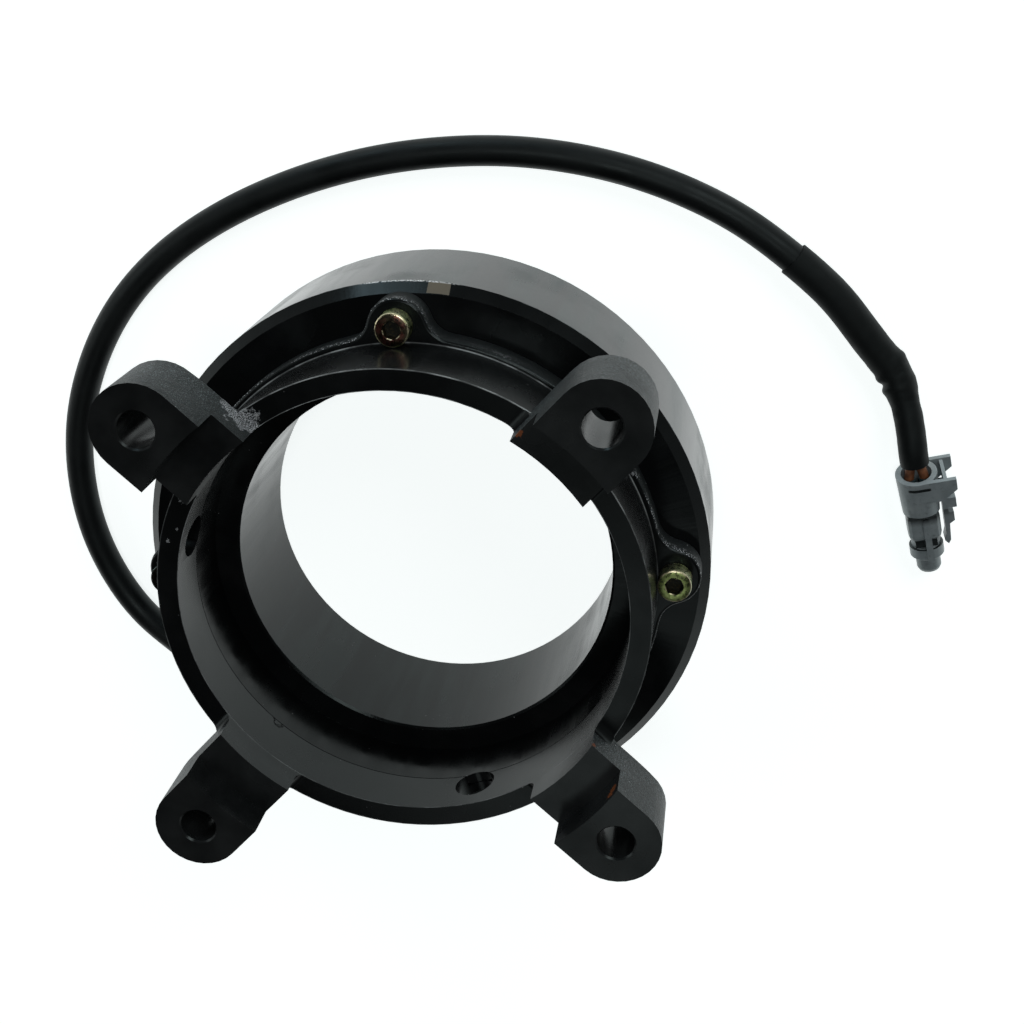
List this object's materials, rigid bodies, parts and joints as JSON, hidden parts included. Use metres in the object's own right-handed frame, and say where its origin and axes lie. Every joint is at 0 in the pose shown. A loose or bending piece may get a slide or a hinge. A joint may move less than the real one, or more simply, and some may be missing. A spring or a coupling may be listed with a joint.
{
  "type": "clutch field coil with mounting bracket",
  "caption": "Stationary field coil of a magnetic clutch in a turned steel ring, with a screwed-on cast bracket with bolt lugs and a sleeved lead ending in a small latching plug",
  "frame": {"origin": "on the axis of the bore, in the plane of the pole face, which is the surface that the part stands on", "axes": "+Z runs along the bore axis from the pole face towards the bracket's lugs; the lugs lie halfway between the X and Y axes, and the cap screws lie on those axes"},
  "size_m": [0.295, 0.2109, 0.099],
  "materials": {
    "black_paint": "gloss black paint over steel and iron",
    "yellow_zinc": "yellow passivated zinc plate",
    "natural_nylon": "as moulded",
    "enamelled_copper": "enamelled copper wire",
    "cloth_tape": "woven tape",
    "potting_resin": "cast resin",
    "crimp_sleeve": "semi-matt",
    "black_rubber": "moulded rubber",
    "cable_jacket": "satin",
    "shrink_sleeve": "satin",
    "brown_insulation": "satin",
    "grey_plastic": "as moulded",
    "seal_rubber": "matt",
    "tinned_brass": "tin plate"
  },
  "bodies": {
    "root": {"coil_housing": "black_paint", "mounting_bracket": "black_paint", "cap_screw_1": "yellow_zinc", "cap_screw_2": "yellow_zinc", "cap_screw_3": "yellow_zinc", "cap_screw_4": "yellow_zinc", "coil_bobbin": "natural_nylon", "coil_winding": "enamelled_copper", "winding_tape": "cloth_tape", "potting_ring": "potting_resin", "coil_lead_1": "enamelled_copper", "coil_lead_2": "enamelled_copper", "splice_sleeve_1": "crimp_sleeve", "splice_sleeve_2": "crimp_sleeve", "cable_grommet": "black_rubber", "lead_cable": "cable_jacket", "cable_sleeve": "shrink_sleeve", "connector_wire_1": "brown_insulation", "connector_wire_2": "brown_insulation", "connector_housing": "grey_plastic", "wire_seal_1": "seal_rubber", "wire_seal_2": "seal_rubber", "terminal_1": "tinned_brass", "terminal_2": "tinned_brass"}
  },
  "joints": []
}
